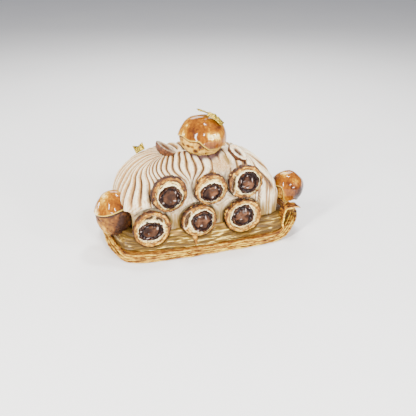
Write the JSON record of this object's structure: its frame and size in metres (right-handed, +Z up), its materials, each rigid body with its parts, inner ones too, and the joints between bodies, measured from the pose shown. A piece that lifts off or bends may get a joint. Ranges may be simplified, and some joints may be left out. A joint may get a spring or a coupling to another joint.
{
  "type": "saint honore cake",
  "caption": "Oblong Saint Honore cake with piped hazelnut cream, cut open along its front to show filled choux",
  "frame": {"origin": "middle of the pastry's flat underside, on the surface that the cake stands on", "axes": "+Z up, +X along the cake to its right end with the curled flake, -Y towards the cut side"},
  "size_m": [0.2296, 0.1424, 0.1418],
  "materials": {
    "puff_pastry": "flaky baked puff pastry, matt",
    "creme_patissiere": "soft custard cream, satin",
    "whipped_cream": "piped whipped cream, soft satin",
    "choux_crust": "baked choux crust, matt",
    "praline": "glossy dark hazelnut praline",
    "caramel": "hard glossy caramel",
    "hazelnut": "hazelnut skin, matt",
    "gold_leaf": "crumpled gold leaf"
  },
  "bodies": {
    "root": {"puff_pastry": "puff_pastry", "creme_patissiere": "creme_patissiere", "whipped_cream": "whipped_cream", "choux_cut_1": "choux_crust", "choux_cut_2": "choux_crust", "choux_cut_3": "choux_crust", "choux_cut_4": "choux_crust", "choux_cut_5": "choux_crust", "choux_cut_6": "choux_crust", "praline_1": "praline", "praline_2": "praline", "praline_3": "praline", "praline_4": "praline", "praline_5": "praline", "praline_6": "praline", "choux_top": "choux_crust", "choux_left": "choux_crust", "choux_right": "choux_crust", "choux_back_left": "choux_crust", "choux_back_middle": "choux_crust", "choux_back_right": "choux_crust", "caramel_top": "caramel", "caramel_left": "caramel", "caramel_right": "caramel", "caramel_back_left": "caramel", "caramel_back_middle": "caramel", "caramel_back_right": "caramel", "hazelnut_left": "hazelnut", "hazelnut_right": "hazelnut", "gold_leaf_spike": "gold_leaf", "gold_leaf_drape": "gold_leaf", "gold_leaf_scrap": "gold_leaf"}
  },
  "joints": []
}
